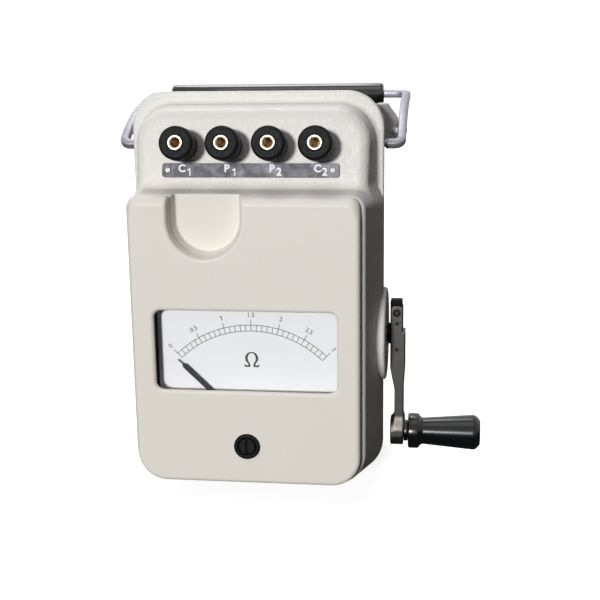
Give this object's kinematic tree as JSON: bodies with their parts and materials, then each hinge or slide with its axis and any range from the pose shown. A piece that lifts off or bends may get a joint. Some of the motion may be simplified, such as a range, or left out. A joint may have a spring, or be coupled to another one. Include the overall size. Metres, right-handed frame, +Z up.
{
  "type": "earth resistance tester",
  "caption": "Upright hand-cranked earth tester with a flared cast case, meter window, screw terminals on a sloping panel, a folding side crank and a carrying handle.",
  "frame": {"origin": "on the floor, under the middle of the whole tester with its crank and handle", "axes": "+Z up, the dial faces -Y, the crank is on the +X side"},
  "size_m": [0.1832, 0.1354, 0.1972],
  "materials": {
    "enamel": "semi-gloss stoved enamel, lightly hammered",
    "black_plastic": "moulded, semi-gloss",
    "label": "satin",
    "dial": "matt",
    "window": "clear",
    "nickel": "bright",
    "brass": "turned",
    "steel": "dull plated",
    "copper": "varnished winding",
    "magnet": "cast",
    "board": "laminate",
    "rubber": "matt"
  },
  "bodies": {
    "case": {"front_body": "enamel", "front_cover": "enamel", "rear_case": "enamel", "window_glass": "window", "meter_housing": "black_plastic", "dial_plate": "dial", "movement_plate": "brass", "movement_magnet": "magnet", "adjuster_bush": "black_plastic", "terminal_collar_c1": "black_plastic", "terminal_stud_c1": "nickel", "terminal_collar_p1": "black_plastic", "terminal_stud_p1": "nickel", "terminal_collar_p2": "black_plastic", "terminal_stud_p2": "nickel", "terminal_collar_c2": "black_plastic", "terminal_stud_c2": "nickel", "label_plate": "label", "label_screw_left": "nickel", "label_screw_right": "nickel", "case_screw_lower_left": "steel", "case_screw_lower_right": "steel", "case_screw_upper_left": "steel", "case_screw_upper_right": "steel", "foot_front_left": "rubber", "foot_front_right": "rubber", "foot_rear_left": "rubber", "foot_rear_right": "rubber", "bearing_housing": "enamel", "gear_frame": "steel", "stator_core": "steel", "stator_winding": "copper", "generator_end_bracket": "steel", "measuring_board": "board", "transformer": "steel"},
    "crank": {"crank_shaft": "steel", "drive_gear": "brass", "crank_hub": "black_plastic", "fold_pin": "steel"},
    "folding_arm": {"crank_arm": "steel", "grip_spindle": "steel"},
    "turning_grip": {"crank_grip": "black_plastic"},
    "second_shaft": {"second_arbor": "steel", "second_gear": "brass"},
    "rotor": {"rotor_shaft": "steel", "rotor_magnet": "magnet"},
    "handle": {"handle_frame": "enamel", "handle_grip": "black_plastic"},
    "meter_pointer": {"pointer": "black_plastic", "moving_coil": "copper"},
    "adjuster": {"zero_adjuster": "black_plastic"},
    "knob_c1": {"terminal_knob_c1": "black_plastic"},
    "knob_p1": {"terminal_knob_p1": "black_plastic"},
    "knob_p2": {"terminal_knob_p2": "black_plastic"},
    "knob_c2": {"terminal_knob_c2": "black_plastic"}
  },
  "joints": [
    {"name": "crank_spin", "type": "hinge", "parent": "case", "child": "crank", "pos_m": [0.04395, -0.01325, 0.0753], "axis": [1, 0, 0], "continuous": true},
    {"name": "crank_fold", "type": "hinge", "parent": "crank", "child": "folding_arm", "pos_m": [0.04905, -0.01325, 0.0868], "axis": [0, -1, 0], "range_deg": [0, 90]},
    {"name": "grip_spin", "type": "hinge", "parent": "folding_arm", "child": "turning_grip", "pos_m": [0.07, -0.01325, 0.0237], "axis": [1, 0, 0], "continuous": true},
    {"name": "second_spin", "type": "hinge", "parent": "case", "child": "second_shaft", "pos_m": [0.0235, 0.01132, 0.05809], "axis": [1, 0, 0], "continuous": true},
    {"name": "rotor_spin", "type": "hinge", "parent": "case", "child": "rotor", "pos_m": [0, 0.0174, 0.03179], "axis": [1, 0, 0], "continuous": true},
    {"name": "handle_swing", "type": "hinge", "parent": "case", "child": "handle", "pos_m": [-0.01955, -0.00945, 0.1703], "axis": [1, 0, 0], "range_deg": [0, 150]},
    {"name": "pointer_swing", "type": "hinge", "parent": "case", "child": "meter_pointer", "pos_m": [-0.01802, -0.05885, 0.0381], "axis": [0, 1, 0], "range_deg": [0, 92], "stiffness_Nm_per_rad": 0.0001},
    {"name": "zero_adjust", "type": "hinge", "parent": "case", "child": "adjuster", "pos_m": [-0.01955, -0.06645, 0.0323], "axis": [0, 1, 0], "range_deg": [-180, 180]},
    {"name": "knob_c1_turn", "type": "hinge", "parent": "case", "child": "knob_c1", "pos_m": [-0.05195, -0.03842, 0.172], "axis": [0, -0.9848, 0.1736], "range_deg": [0, 1080]},
    {"name": "knob_p1_turn", "type": "hinge", "parent": "case", "child": "knob_p1", "pos_m": [-0.03035, -0.03842, 0.172], "axis": [0, -0.9848, 0.1736], "range_deg": [0, 1080]},
    {"name": "knob_p2_turn", "type": "hinge", "parent": "case", "child": "knob_p2", "pos_m": [-0.00875, -0.03842, 0.172], "axis": [0, -0.9848, 0.1736], "range_deg": [0, 1080]},
    {"name": "knob_c2_turn", "type": "hinge", "parent": "case", "child": "knob_c2", "pos_m": [0.01285, -0.03842, 0.172], "axis": [0, -0.9848, 0.1736], "range_deg": [0, 1080]}
  ],
  "couplings": [
    {"joint": "second_spin", "follows": "crank_spin", "ratio": -4},
    {"joint": "rotor_spin", "follows": "crank_spin", "ratio": 14}
  ]
}
